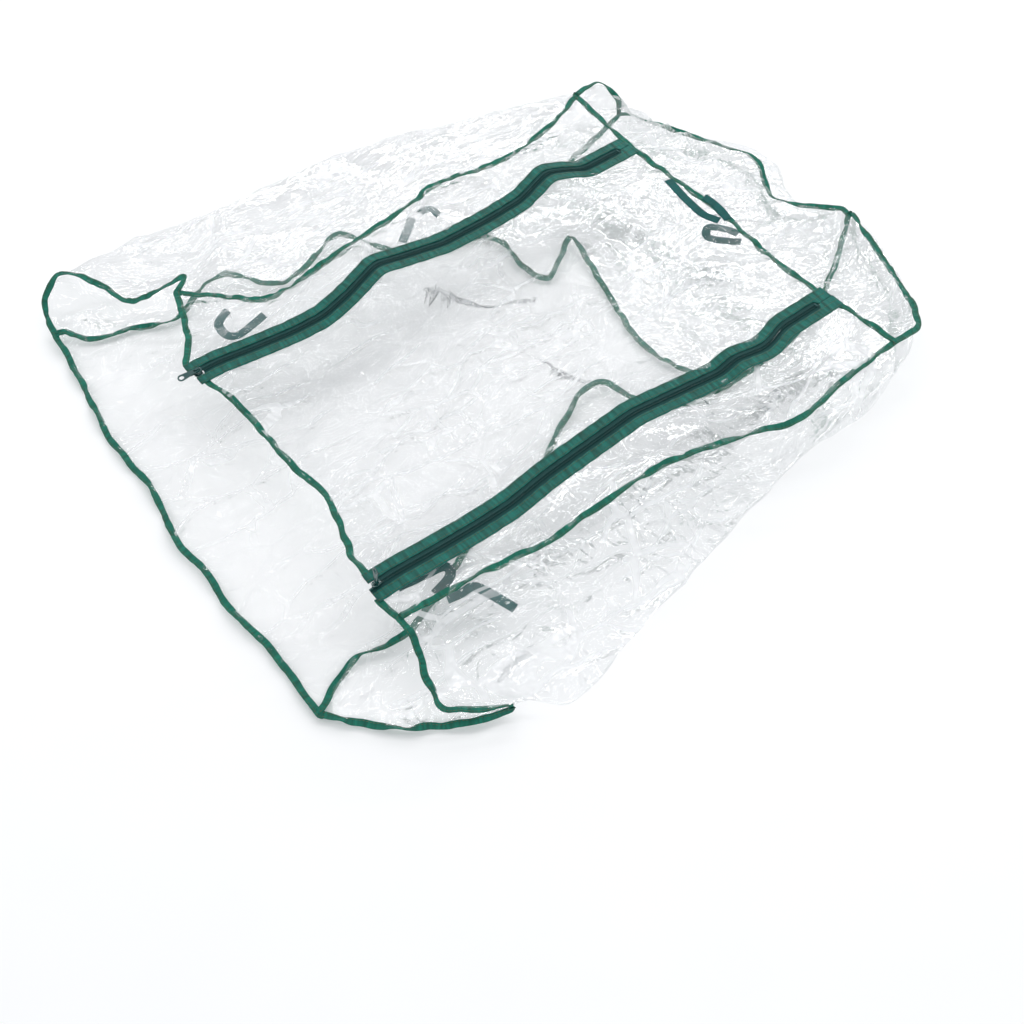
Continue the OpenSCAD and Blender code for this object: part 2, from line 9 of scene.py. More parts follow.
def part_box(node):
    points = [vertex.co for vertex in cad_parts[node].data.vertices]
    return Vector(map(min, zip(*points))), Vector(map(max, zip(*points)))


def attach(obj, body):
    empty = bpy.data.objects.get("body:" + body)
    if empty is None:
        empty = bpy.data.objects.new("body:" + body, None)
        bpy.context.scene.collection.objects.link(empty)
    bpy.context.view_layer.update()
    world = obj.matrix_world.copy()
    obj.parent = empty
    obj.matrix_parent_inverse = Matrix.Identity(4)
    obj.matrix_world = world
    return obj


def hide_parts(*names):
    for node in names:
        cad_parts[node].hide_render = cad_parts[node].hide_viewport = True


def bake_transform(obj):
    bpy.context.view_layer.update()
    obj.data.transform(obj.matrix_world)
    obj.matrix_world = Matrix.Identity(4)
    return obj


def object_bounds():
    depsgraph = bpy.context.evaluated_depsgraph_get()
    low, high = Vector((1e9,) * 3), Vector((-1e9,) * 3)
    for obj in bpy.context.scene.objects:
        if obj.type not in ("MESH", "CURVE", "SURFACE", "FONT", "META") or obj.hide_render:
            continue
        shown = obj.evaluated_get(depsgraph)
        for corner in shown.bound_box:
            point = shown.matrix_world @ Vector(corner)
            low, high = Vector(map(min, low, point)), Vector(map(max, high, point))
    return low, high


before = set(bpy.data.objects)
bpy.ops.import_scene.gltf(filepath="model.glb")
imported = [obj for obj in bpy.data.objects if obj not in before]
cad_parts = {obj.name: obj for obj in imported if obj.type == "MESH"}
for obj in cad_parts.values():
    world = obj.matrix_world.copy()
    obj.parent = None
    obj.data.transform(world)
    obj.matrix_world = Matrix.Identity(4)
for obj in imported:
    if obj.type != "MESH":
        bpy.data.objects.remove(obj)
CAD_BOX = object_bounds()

scene = bpy.context.scene
MIDDLE = (np.array(CAD_BOX[0]) + np.array(CAD_BOX[1])) / 2

# ---- Camera ----
TURN, RISE, DISTANCE = math.radians(38), math.radians(55), 1.5416
AIM_OFF = (-0.194, -0.2226)
FOCAL, SENSOR = 42.19, 36

target = Vector((MIDDLE[0] + AIM_OFF[0], MIDDLE[1] + AIM_OFF[1], 0))
away = Vector((math.sin(TURN), math.cos(TURN), 0))
overhead = Vector((0, 0, DISTANCE * math.sin(RISE)))
camera_data = bpy.data.cameras.new("camera")
camera_data.lens = FOCAL
camera_data.sensor_width = SENSOR
camera = bpy.data.objects.new("camera", camera_data)
scene.collection.objects.link(camera)
camera.location = target - DISTANCE * math.cos(RISE) * away + overhead
camera.rotation_euler = (math.pi / 2 - RISE, 0, -TURN)
scene.camera = camera


# ---- Materials ----
def shader(name):
    mat = bpy.data.materials.new(name)
    mat.use_nodes = True
    nt = mat.node_tree
    nt.nodes.clear()
    return mat, nt, nt.nodes.new("ShaderNodeOutputMaterial")


def node(nt, kind, links=(), **values):
    """A node with its inputs linked, or set by name (_ for a space) or by number (in_0)."""
    n = nt.nodes.new("ShaderNode" + kind)
    for key, value in values.items():
        if key.startswith("in_"):
            n.inputs[int(key[3:])].default_value = value
        elif hasattr(n, key):
            setattr(n, key, value)
        else:
            n.inputs[key.replace("_", " ")].default_value = value
    for socket, source in dict(links).items():
        nt.links.new(source, n.inputs[socket])
    return n


def scaled(nt, source, scale):
    return node(nt, "Mapping", {"Vector": source}, Scale=scale).outputs[0]


def mapped(nt, source, **limits):
    """A value carried from one range (From_Min, From_Max) to another (To_Min, To_Max)."""
    return node(nt, "MapRange", {"Value": source}, **limits).outputs[0]


def noise(nt, source, scale, detail, output="Fac"):
    return node(nt, "TexNoise", {"Vector": source}, Scale=scale, Detail=detail).outputs[output]


def combined(nt, operation, one, two):
    """A Math node on two values, of which the second may be a plain number."""
    if isinstance(two, float):
        return node(nt, "Math", {0: one}, operation=operation, in_1=two).outputs[0]
    return node(nt, "Math", {0: one, 1: two}, operation=operation).outputs[0]


def mixed_shader(nt, share, one, two):
    return node(nt, "MixShader", {"Fac": share, 1: one, 2: two}).outputs[0]


# Creases of the film: scale of the cells, stretch of the space they lie in, height in metres
FILM_CREASES = ((9.0, (1, 2.6, 1), 0.0019), (26.0, (2.2, 1, 1), 0.0007))
CREASE_WIDTH = 0.22
RIPPLE_HEIGHT = 0.0030
FROST_WIDTH, FROST_SHARE = 0.1, 0.5
FILM_IOR = 1.52


def film_material(name, relief, tint, most_gloss):
    """Clear plastic film: lets nearly all light through, hazy in patches, with glossy creases."""
    mat, nt, out = shader(name)
    place = node(nt, "TexCoord").outputs["Object"]
    warp = noise(nt, place, 5.0, 2.0, "Color")
    shift = node(nt, "VectorMath", {0: warp}, operation="SCALE", Scale=0.10).outputs[0]
    bent = node(nt, "VectorMath", {0: place, 1: shift}, operation="ADD").outputs[0]
    where = mapped(nt, noise(nt, bent, 7.0, 1.5),
                   From_Min=0.42, From_Max=0.60, To_Min=0.2, To_Max=1.25)
    heights, creases = [], []
    for scale, stretch, strength in FILM_CREASES:
        cells = node(nt, "TexVoronoi", {"Vector": scaled(nt, bent, stretch)},
                     feature="DISTANCE_TO_EDGE", Scale=scale)
        crease = mapped(nt, cells.outputs["Distance"],
                        interpolation_type="SMOOTHSTEP", From_Max=CREASE_WIDTH)
        creases.append(crease)
        here = combined(nt, "MULTIPLY", crease, where)
        heights.append(combined(nt, "MULTIPLY", here, strength * relief))
    ripples = noise(nt, scaled(nt, bent, (1, 2.4, 1)), 22.0, 3.0)
    heights.append(combined(nt, "MULTIPLY", ripples, RIPPLE_HEIGHT * relief))
    total = combined(nt, "ADD", heights[0], heights[1])
    total = combined(nt, "ADD", total, heights[2])
    bump = node(nt, "Bump", {"Height": total}, Strength=1.0, Distance=1.0).outputs[0]
    clear = node(nt, "BsdfTransparent", Color=(tint, tint + 0.003, tint + 0.005, 1))
    haze = node(nt, "BsdfDiffuse", {"Normal": bump}, Color=(0.90, 0.91, 0.92, 1))
    gloss = node(nt, "BsdfGlossy", {"Normal": bump}, Roughness=0.05, Color=(1, 1, 1, 1))
    patch = noise(nt, place, 14.0, 3.0)
    hazy = mapped(nt, patch, From_Min=0.35, From_Max=0.75, To_Min=0.03, To_Max=0.12)
    frost = combined(nt, "LESS_THAN", creases[0], FROST_WIDTH)
    frost = combined(nt, "MULTIPLY", frost, patch)
    frost = combined(nt, "MULTIPLY", frost, where)
    frost = node(nt, "Math", {0: frost, 2: hazy}, operation="MULTIPLY_ADD", in_1=FROST_SHARE)
    body = mixed_shader(nt, frost.outputs[0], clear.outputs[0], haze.outputs[0])
    rim = node(nt, "Fresnel", {"Normal": bump}, IOR=FILM_IOR).outputs[0]
    shine = combined(nt, "MINIMUM", rim, most_gloss)
    whole = mixed_shader(nt, shine, body, gloss.outputs[0])
    nt.links.new(whole, out.inputs["Surface"])
    return mat


def fabric(name, colour, light, pitch, roughness=0.5, sheen=0.3, relief=0.00012, worn=0.2,
           gathers_and_painted_shade=0.0):
    """Woven ribbon: a plain weave along and across it, uneven dye, rubbed edges, and gathers in
    relief with painted shade across them.
    """
    mat, nt, out = shader(name)
    uv = node(nt, "UVMap", uv_map="UVMap").outputs[0]
    wave_scale = 1 / pitch / 6.2832 * 2  # the wave texture then repeats about once a pitch
    threads = [node(nt, "TexWave", {"Vector": uv}, Scale=wave_scale, bands_direction=way)
               for way in ("X", "Y")]
    weave = combined(nt, "MULTIPLY", threads[0].outputs["Fac"], threads[1].outputs["Fac"])
    blotch = noise(nt, uv, 60.0, 4.0)
    dyed = node(nt, "MixRGB", {0: blotch}, in_1=colour, in_2=light).outputs[0]
    edge = mapped(nt, node(nt, "NewGeometry").outputs["Pointiness"],
                  From_Min=0.52, From_Max=0.60, To_Min=0.0, To_Max=worn)
    pale = tuple(min(1, 0.35 + 0.65 * c) for c in light[:3]) + (1,)
    rubbed = node(nt, "MixRGB", {0: edge, 1: dyed}, in_2=pale).outputs[0]
    dark = mapped(nt, weave, To_Min=0.72, To_Max=1.12)
    # The gathers' streaky noise raises the cloth in relief and also, as painted shade, darkens and
    # lightens its colour in streaks across the ribbon
    pull = noise(nt, scaled(nt, uv, (190, 28, 1)), 1.0, 2.0)
    painted_gather_shade = mapped(nt, pull, From_Min=0.3, From_Max=0.7, To_Min=1 - gathers_and_painted_shade, To_Max=1 + gathers_and_painted_shade)
    tone = combined(nt, "MULTIPLY", dark, painted_gather_shade)
    shade = node(nt, "VectorMath", {0: rubbed, "Scale": tone}, operation="SCALE")
    bump = node(nt, "Bump", {"Height": weave}, Strength=0.6, Distance=relief)
    bump = node(nt, "Bump", {"Height": pull, "Normal": bump.outputs[0]},
                Strength=0.8, Distance=0.004 * gathers_and_painted_shade)
    rough = mapped(nt, blotch, To_Min=roughness - 0.08, To_Max=roughness + 0.12)
    links = {"Base Color": shade.outputs[0], "Normal": bump.outputs[0], "Roughness": rough}
    cloth = node(nt, "BsdfPrincipled", links, Sheen_Weight=sheen, Sheen_Roughness=0.4,
                 Specular_IOR_Level=0.28)
    nt.links.new(cloth.outputs[0], out.inputs["Surface"])
    return mat


def moulded(name, colour, light, roughness, scale=900.0, relief=0.00004, coat=0.0):
    """Enamel or nylon: slightly uneven colour and gloss, fine orange-peel relief."""
    mat, nt, out = shader(name)
    place = node(nt, "TexCoord").outputs["Object"]
    grain = noise(nt, place, scale, 3.0)
    tone = node(nt, "MixRGB", {0: noise(nt, place, scale / 7, 2.0)}, in_1=colour, in_2=light)
    rough = mapped(nt, grain, To_Min=roughness - 0.08, To_Max=roughness + 0.1)
    bump = node(nt, "Bump", {"Height": grain}, Strength=0.5, Distance=relief)
    links = {"Base Color": tone.outputs[0], "Roughness": rough, "Normal": bump.outputs[0]}
    body = node(nt, "BsdfPrincipled", links, Coat_Weight=coat)
    nt.links.new(body.outputs[0], out.inputs["Surface"])
    return mat


def rgb(r, g, b):
    """A colour given as it looks on screen, 0 to 255."""
    return tuple(((c / 255 + 0.055) / 1.055) ** 2.4 for c in (r, g, b)) + (1,)


# One clear film in three copies: the darker tints of the flat parts (0.925) and of the darker-tint
# parts (0.915), against 0.964, are painted shade so those panels show darker
FILM = film_material("clear_film", 0.8, 0.964, 0.42)
DARKER_TINT_FILM = film_material("clear_film_darker_tint", 0.8, 0.915, 0.42)
SMOOTH_FILM = film_material("clear_film_flat_parts", 2.2, 0.925, 0.8)
BINDING = fabric("binding_ribbon", rgb(0, 86, 70), rgb(18, 128, 106), 0.0006, 0.52, 0.08,
                 gathers_and_painted_shade=0.36)
FACING = fabric("facing_ribbon", rgb(0, 80, 70), rgb(18, 120, 108), 0.0006, 0.46, 0.08,
                gathers_and_painted_shade=0.42)
TAPE = fabric("zip_tape", rgb(2, 58, 57), rgb(14, 80, 77), 0.0009, 0.6, 0.08, 0.0002)
WEBBING = fabric("tie_webbing", rgb(0, 70, 70), rgb(6, 108, 104), 0.0012, 0.55, 0.06, 0.0003,
                 gathers_and_painted_shade=0.15)
THREAD = fabric("sewing_thread", rgb(96, 92, 58), rgb(122, 112, 74), 0.0004, 0.6, 0.2, 0.00005, 0)
COIL = moulded("coil_nylon", rgb(4, 58, 57), rgb(16, 80, 77), 0.36)
ENAMEL = moulded("slider_enamel", rgb(6, 56, 56), rgb(16, 74, 72), 0.3, coat=0.5)


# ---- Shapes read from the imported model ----
SHEET_MERGE = 0.00145  # merges the two faces of a CAD film sheet
RIBBON_MERGE = 0.00002  # merges only the shared corners of a CAD ribbon


def tree_of(points):
    tree = KDTree(len(points))
    for k, p in enumerate(points):
        tree.insert(p, k)
    tree.balance()
    return tree


def skin(names, reach):
    """Points and triangles of CAD nodes, with points nearer than reach merged into one."""
    points, triangles = [], []
    for name in names:
        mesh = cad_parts[name].data
        mesh.calc_loop_triangles()
        base = len(points)
        points += [tuple(v.co) for v in mesh.vertices]
        triangles += [[base + k for k in t.vertices] for t in mesh.loop_triangles]
    co = np.array(points)
    tree = tree_of(points)
    home = np.full(len(co), -1)
    merged = []
    for k in range(len(co)):
        if home[k] < 0:
            group = [j for _, j, _ in tree.find_range(co[k], reach) if home[j] < 0]
            home[group] = len(merged)
            merged.append(co[group].mean(0))
    faces = {tuple(sorted(home[t])): tuple(home[t]) for t in triangles if len(set(home[t])) == 3}
    return np.array(merged), [faces[key] for key in sorted(faces)]


def loops_of(faces):
    """Closed loops of the edges that only one face has."""
    count = {}
    for f in faces:
        for a, b in zip(f, f[1:] + f[:1]):
            edge = (min(a, b), max(a, b))
            count[edge] = count.get(edge, 0) + 1
    beside = {}
    for (a, b), uses in sorted(count.items()):
        if uses == 1:
            beside.setdefault(a, []).append(b)
            beside.setdefault(b, []).append(a)
    loops, seen = [], set()
    for start in sorted(beside):
        if start in seen:
            continue
        loop = [start]
        seen.add(start)
        while True:
            ahead = [k for k in beside[loop[-1]] if k not in seen]
            if not ahead:
                break
            loop.append(ahead[0])
            seen.add(ahead[0])
        loops.append(loop)
    return loops


def spread(start, beside):
    """Sets of points, each one edge further from the starting set."""
    seen, layer, layers = set(start), set(start), [sorted(start)]
    while True:
        layer = {b for a in layer for b in beside[a]} - seen
        if not layer:
            return layers
        seen |= layer
        layers.append(sorted(layer))


def ribbons(name):
    """Centre line and sideways direction of each ribbon in a CAD node, ring by ring of corners."""
    points, faces = skin([name], RIBBON_MERGE)
    beside, found, done = {}, [], set()
    for f in faces:
        for a in f:
            beside.setdefault(int(a), set()).update(int(b) for b in f if b != a)
    for start in sorted(beside):
        if start in done:
            continue
        reached = spread([start], beside)
        tip = reached[-1][0]
        caps = [set(map(int, f)) for f in faces if tip in f]
        rings = []
        for cap in caps:
            for other in (set(map(int, f)) for f in faces):
                if len(cap | other) == 4 and len(cap & other) == 2 and not rings:
                    layers = spread(cap | other, beside)
                    rings = layers if all(len(x) == 4 for x in layers) else []
        done |= {k for x in reached for k in x}
        middles, sides = [], []
        for a, b, c, d in (points[r] for r in rings):
            pairs = min((((a, b), (c, d)), ((a, c), (b, d)), ((a, d), (b, c))),
                        key=lambda q: sum(np.linalg.norm(x - y) for x, y in q))
            side = sum(pairs[0]) - sum(pairs[1])
            sides.append(side if not sides or side @ sides[-1] >= 0 else -side)
            middles.append((a + b + c + d) / 4)
        found.append((np.array(middles), unit(np.array(sides))))
    return found


def unit(v):
    return v / np.maximum(np.linalg.norm(v, axis=-1, keepdims=True), 1e-9)


def upright(v):
    """Vectors turned over where they point down."""
    return v * np.where(v[:, 2:3] < 0, -1, 1)


def eased(share):
    """A share from 0 to 1 with soft ends."""
    return share * share * (3 - 2 * share)


def distances(line):
    """How far each point of a line is along it."""
    return np.concatenate([[0], np.cumsum(np.linalg.norm(np.diff(line, axis=0), axis=1))])


def at_places(t, at, values):
    """Rows of values given at places along a line, read at the places t."""
    return np.stack([np.interp(t, at, values[:, k]) for k in range(3)], 1)


SMOOTH = 10  # steps of a spline between two points of a seam


def spline(points, per):
    """Smooth curve through points, with that many steps between each two."""
    p = np.vstack([2 * points[0] - points[1], points, 2 * points[-1] - points[-2]])
    t = np.linspace(0, 1, per, endpoint=False)[:, None]
    out = []
    for k in range(1, len(p) - 2):
        a, b, c, d = p[k - 1], p[k], p[k + 1], p[k + 2]
        cubic = 2 * a - 5 * b + 4 * c - d + t * (3 * (b - c) + d - a)
        out.append(b + 0.5 * t * ((c - a) + t * cubic))
    return np.vstack(out + [points[-1:]])


def evenly(line, step, *others):
    """The line, and lists that go with its points, at an even step along it."""
    run = distances(line)
    at = np.linspace(0, run[-1], max(2, int(round(run[-1] / step)) + 1))
    return [at_places(at, run, x) for x in (line,) + others] + [at]


ANY_PHASE = 6.28  # random phases are drawn from 0 to this


def ripple(s, length, seed):
    """Smooth noise from -1 to 1 along s, about one wave in each length."""
    r = np.random.default_rng(seed)
    total = 0
    for k in range(4):
        height = r.uniform(0.4, 1)
        wave = 2 * math.pi * s / length * r.uniform(0.55, 1.6)
        total = total + height * np.sin(wave + r.uniform(0, ANY_PHASE))
    return total / 2.6


# ---- The zips wave with the film they are sewn to ----
OUTER_TAPE, OUTER_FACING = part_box("left_outer_tape"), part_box("left_outer_facing")
ZIP_Y = (OUTER_TAPE[0].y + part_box("left_inner_tape")[1].y) / 2
ZIP_Z = (OUTER_TAPE[0].z + OUTER_TAPE[1].z) / 2
FOLD_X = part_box("left_inner_tape")[1].x
IN, OUT = OUTER_FACING[0].y - ZIP_Y, OUTER_FACING[1].y - ZIP_Y
# Read from the photograph, by side: place along the zip in metres, shift in y and z in mm
WAVES = {
    1: ((0.035, 0, 0), (0.08, -5, -2), (0.145, -10, -5), (0.19, -15, 0), (0.235, -10, 10),
        (0.29, 5, 20), (0.33, 5, 10), (0.40, 0, 0), (0.48, 0, 0), (0.54, 0, 5), (0.595, 10, 20),
        (0.635, 5, 9), (0.658, 0, 0)),
    -1: ((0.035, 0, 0), (0.08, 0, -5), (0.15, 0, -10), (0.20, 0, -10), (0.26, 5, -5),
         (0.305, 5, 0), (0.355, 5, 5), (0.40, 5, 10), (0.485, 0, 0), (0.545, -5, -5),
         (0.567, -5, 5), (0.62, -9, -5), (0.642, -6, -3), (0.658, 0, 0)),
}
WAVE_X = np.linspace(-0.2, 1.1, 651)
WAVE_SMOOTHING = 21
WAVE_REACH, WAVE_FADE = 0.105, 0.08  # to the sides of a zip
WAVE_FLOOR, WAVE_RISE = 0.045, 0.02  # above the surface
WAVE_AT = {}
for side, rows in WAVES.items():
    rows = np.array(rows)
    window = np.hanning(WAVE_SMOOTHING) / np.hanning(WAVE_SMOOTHING).sum()
    shifts = [np.interp(WAVE_X, rows[:, 0], rows[:, k], 0, 0) / 1000 for k in (1, 2)]
    WAVE_AT[side] = [np.convolve(shift, window, "same") for shift in shifts]


def waved(co):
    """Points moved as the nearby zip waves, fading out to the sides of its band."""
    co = np.array(co, float)
    for side in (1, -1):
        off = np.abs(co[:, 1] - side * ZIP_Y)
        share = eased(np.clip((WAVE_REACH - off) / WAVE_FADE, 0, 1))
        share *= np.clip((co[:, 2] - WAVE_FLOOR) / WAVE_RISE, 0, 1)
        for axis, k in ((1, 0), (2, 1)):
            co[:, axis] += share * np.interp(co[:, 0], WAVE_X, WAVE_AT[side][k])
    return co


# ---- Mesh makers ----
SIXTHS = np.linspace(0, 2 * math.pi, 6, endpoint=False)
ROUND = np.array([(math.cos(a), math.sin(a)) for a in SIXTHS])


def linked(name, data):
    obj = bpy.data.objects.new(name, data)
    scene.collection.objects.link(obj)
    return obj


def piece(name, shape, material, body="cover", nodes=()):
    """A visible piece from its points, faces and, where its material needs them, uv places."""
    co, faces, uv = shape
    mesh = bpy.data.meshes.new(name)
    mesh.from_pydata([tuple(map(float, p)) for p in co], [], faces)
    if uv is not None:
        layer = mesh.uv_layers.new(name="UVMap")
        corners = np.array(uv, np.float32)[[k for f in faces for k in f]]
        layer.data.foreach_set("uv", corners.ravel())
    mesh.polygons.foreach_set("use_smooth", [True] * len(mesh.polygons))
    mesh.materials.append(material)
    obj = linked(name, mesh)
    if body:
        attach(obj, body)
    if nodes:
        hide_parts(*nodes)
    return obj


def tube_faces(n, m):
    """Faces of a closed tube: n rings of m points, and an end on the first and last ring."""
    faces = [(k * m + j, k * m + (j + 1) % m, (k + 1) * m + (j + 1) % m, (k + 1) * m + j)
             for k in range(n - 1) for j in range(m)]
    return faces + [tuple(range(m))[::-1], tuple((n - 1) * m + j for j in range(m))]


def swept(path, side, section, turn_up=True):
    """A closed skin that carries a section, as (sideways, up) pairs, along a path."""
    along = unit(np.gradient(path, axis=0))
    side = unit(side - along * (side * along).sum(1, keepdims=True))
    up = np.cross(along, side)
    if turn_up:
        up = upright(up)
    co = path[:, None] + section[:, :, :1] * side[:, None] + section[:, :, 1:] * up[:, None]
    run, girth = distances(path), distances(section[0])
    uv = np.stack(np.broadcast_arrays(run[:, None], girth[None]), -1).reshape(-1, 2)
    return co.reshape(-1, 3), tube_faces(*section.shape[:2]), uv


def thread(path, radius, one, two):
    """A round thread along a path, with its two cross directions."""
    ring = ROUND[None, :, :1] * one[:, None] + ROUND[None, :, 1:] * two[:, None]
    co = path[:, None] + radius * ring
    return co.reshape(-1, 3), tube_faces(len(path), len(ROUND))


def together(parts):
    """Several (points, faces, uv) as one."""
    co, faces, uv, base = [], [], [], 0
    for c, f, u in parts:
        co.append(c)
        uv.append(u)
        faces += [tuple(base + k for k in face) for face in f]
        base += len(c)
    return np.vstack(co), faces, np.vstack(uv)


STITCH_RADIUS = 0.00026
STITCH_AT = np.array([0, 0.25, 0.5, 0.75, 1])
STITCH_DIP = np.array([-0.7, 0.35, 0.6, 0.35, -0.7])[:, None] * STITCH_RADIUS
STITCH_SIZE = STITCH_RADIUS * np.array([0.55, 1, 1, 1, 0.55])[:, None, None]


def stitches(path, up, length=0.0032, gap=0.0011):
    """A row of sewing stitches along a path: each a short thread that dips into the cloth."""
    line, normal, at = evenly(path, 0.0004, up)
    parts, pitch = [], length + gap
    for k in range(int(at[-1] / pitch)):
        t = k * pitch + STITCH_AT * length
        centre = at_places(t, at, line)
        above = unit(at_places(t, at, normal))
        across = np.cross(unit(np.gradient(centre, axis=0)), above)
        co, faces = thread(centre + STITCH_DIP * above, STITCH_SIZE, across, above)
        around = np.arange(len(ROUND))[None] * STITCH_RADIUS
        uv = np.stack(np.broadcast_arrays(t[:, None], around), -1).reshape(-1, 2)
        parts.append((co, faces, uv))
    return together(parts)


def ribbon_outline(half, middle, rim, power):
    """Outline of a flat ribbon, whose half thickness grows from its middle to its rims."""
    u = np.linspace(-1, 1, 11)
    top = middle + rim * np.abs(u) ** power
    return np.concatenate([np.stack([u * half, top], 1), np.stack([u[::-1] * half, -top[::-1]], 1)])


# ---- Bindings and hems ----
BINDING_NODES = sorted(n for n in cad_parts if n.endswith(("_binding", "_hem")))
LINES = {n: [(waved(line), side) for line, side in ribbons(n)] for n in BINDING_NODES}
ENDS_REACH, ENDS_MEET, BACKWARD = 0.05, 0.002, -0.004
BESIDE_ZIP, UNDER_FACING = 0.03, 0.0005
FAR_AWAY = 9
DOUBLED_GAP, DOUBLED_LENGTH, DOUBLED_TWIST = 0.012, 0.07, 1.2


def reaching(n, which, end):
    """The point that this ribbon end should reach, or None if there is none near.

    It is on another ribbon of the same body, or under the facing where a hem meets a zip.
    """
    line = LINES[n][which][0]
    tip, inner = (line[0], line[1]) if end == 0 else (line[-1], line[-2])
    best, found = ENDS_REACH, None
    for other in BINDING_NODES:
        for k, (far, _) in enumerate(LINES[other]):
            if (other, k) == (n, which) or (other == "door_hem") != (n == "door_hem"):
                continue
            dense = spline(far, 8)
            gaps = np.linalg.norm(dense - tip, axis=1)
            ahead = (dense - tip) @ unit(tip - inner) > BACKWARD
            gaps = np.where(ahead, gaps, FAR_AWAY)
            if gaps.min() < best:
                best, found = gaps.min(), dense[gaps.argmin()]
    by_a_zip = n.endswith(("door_hem", "strip_hem")) and abs(abs(tip[1]) - ZIP_Y) < BESIDE_ZIP
    if found is None and by_a_zip:
        way = -1 if n == "door_hem" else 1
        y = math.copysign(ZIP_Y + way * (IN + OUT) / 2, tip[1])
        found = np.array((tip[0], y, tip[2] - UNDER_FACING))
    return found


FULL = {}
for n in BINDING_NODES:
    FULL[n] = []
    for which, (line, side) in enumerate(LINES[n]):
        first, final = reaching(n, which, 0), reaching(n, which, 1)
        if first is not None and np.linalg.norm(first - line[0]) > ENDS_MEET:
            line, side = np.vstack([first, line]), np.vstack([side[:1], side])
        if final is not None and np.linalg.norm(final - line[-1]) > ENDS_MEET:
            line, side = np.vstack([line, final]), np.vstack([side, side[-1:]])
        FULL[n].append((line, side))

HALF_W, HALF_THICK = 0.0045, 0.0010
BAND_SECTION = np.array([
    (-1.0, 0.00), (-0.97, 0.42), (-0.86, 0.72), (-0.62, 0.66), (-0.2, 0.50), (0.25, 0.48),
    (0.65, 0.62), (0.90, 0.74), (1.0, 0.42), (0.985, 0.08), (0.985, -0.08), (1.0, -0.42),
    (0.90, -0.74), (0.65, -0.62), (0.25, -0.48), (-0.2, -0.50), (-0.62, -0.66),
    (-0.86, -0.72), (-0.97, -0.42)]) * (HALF_W, HALF_THICK)
OPEN_SIDE = np.where(BAND_SECTION[None, :, 0] > 0.001, 1, 0.3)
PUCKER, PUCKER_LENGTH = 0.00016, 0.0085
BAND_STEP, END_EASE, BAND_CLEAR = 0.0025, 0.03, 0.0016
TWISTS = ((0.85, 0.11, 0), (0.30, 0.04, 7))  # radians, length in metres, added to the seed
SWAY_ASIDE, SWAY_UP, WIDTH_CHANGE = 0.0016, 0.0009, 0.05
STITCH_OUT, STITCH_HEIGHT = 0.58 * HALF_W, 0.0008


def doubled_back(line, which, end, n):
    """Whether this end of a ribbon meets an end of another ribbon of its own node."""
    gaps = [np.linalg.norm(line[end] - other[far])
            for k, (other, _) in enumerate(FULL[n]) if k != which for far in (0, -1)]
    return bool(gaps) and min(gaps) < DOUBLED_GAP


def bound(n, which, line, side, seed):
    """A folded ribbon that twists and puckers along its seam, and its row of stitches."""
    path, side, at = evenly(spline(line, SMOOTH), BAND_STEP, spline(side, SMOOTH))
    along = unit(np.gradient(path, axis=0))
    side = unit(side - along * (side * along).sum(1, keepdims=True))
    up = upright(np.cross(along, side))
    ease = np.clip(np.minimum(at, at[-1] - at) / END_EASE, 0, 1)[:, None]
    twist = ease * sum(turn * ripple(at, length, seed + more)[:, None]
                       for turn, length, more in TWISTS)
    for end, distance in ((0, at), (-1, at[-1] - at)):
        if doubled_back(line, which, end, n):
            near = np.clip(1 - distance / DOUBLED_LENGTH, 0, 1)[:, None]
            twist = twist + DOUBLED_TWIST * near ** 0.7
    sway = SWAY_ASIDE * ripple(at, 0.05, seed + 3)[:, None] * side
    path = path + ease * (sway + SWAY_UP * ripple(at, 0.03, seed + 5)[:, None] * up)
    turned = np.cos(twist) * side + np.sin(twist) * up
    risen = upright(np.cross(along, turned))
    wide = 1 + WIDTH_CHANGE * ripple(at, 0.02, seed + 9)[:, None, None]
    section = BAND_SECTION[None] * np.concatenate([wide, np.ones_like(wide)], 2)
    pucker = PUCKER * np.sin(2 * math.pi * at / PUCKER_LENGTH + 2 * ripple(at, 0.04, seed + 2))
    section[:, :, 1] += OPEN_SIDE * pucker[:, None] * np.sign(BAND_SECTION[None, :, 1])
    low = BAND_CLEAR + HALF_W * np.abs(np.sin(twist[:, 0]))
    path[:, 2] = np.maximum(path[:, 2], low)
    row = path + STITCH_OUT * turned + STITCH_HEIGHT * risen
    return swept(path, turned, section), stitches(row, risen)


for number, n in enumerate(BINDING_NODES):
    made = [bound(n, which, line, side, 100 * number + which)
            for which, (line, side) in enumerate(FULL[n])]
    body = "cover" if n != "door_hem" else "door"
    piece("band_" + n, together([m[0] for m in made]), BINDING, body, [n])
    piece("stitches_" + n, together([m[1] for m in made]), THREAD, body)

# ---- Film ----
# The film's edges are drawn to the middle of the seams, and under the zips' facings
SEAM_POINTS = [spline(line, SMOOTH) for n in BINDING_NODES for line, _ in FULL[n]]
FACING_LAP = IN + 0.006
for side in (1, -1):
    for way in (1, -1):
        x = np.linspace(OUTER_TAPE[0].x, OUTER_TAPE[1].x, 160)
        y = np.full(len(x), side * (ZIP_Y + way * FACING_LAP))
        SEAM_POINTS.append(waved(np.stack([x, y, np.full(len(x), ZIP_Z)], 1)))
SEAM_POINTS = np.vstack(SEAM_POINTS)
SEAM_TREE = tree_of(SEAM_POINTS)
SEAM_REACH = 0.03

# Crumpling of the film: length and height of each size of fold, in metres
FOLD_SIZES = ((0.15, 0.0052), (0.075, 0.0030), (0.036, 0.0012), (0.017, 0.00035))
SUBDIVISIONS = 3
RIM_FADE = 0.035
PLEAT_IN, PLEAT_OUT, PLEAT_HEIGHT = 0.01, 0.06, 0.0022
GATHER_LENGTH, GATHER_FADE = 0.038, 0.012
LOWEST_FILM = 0.0006
UPWARD_SHARE = 0.35


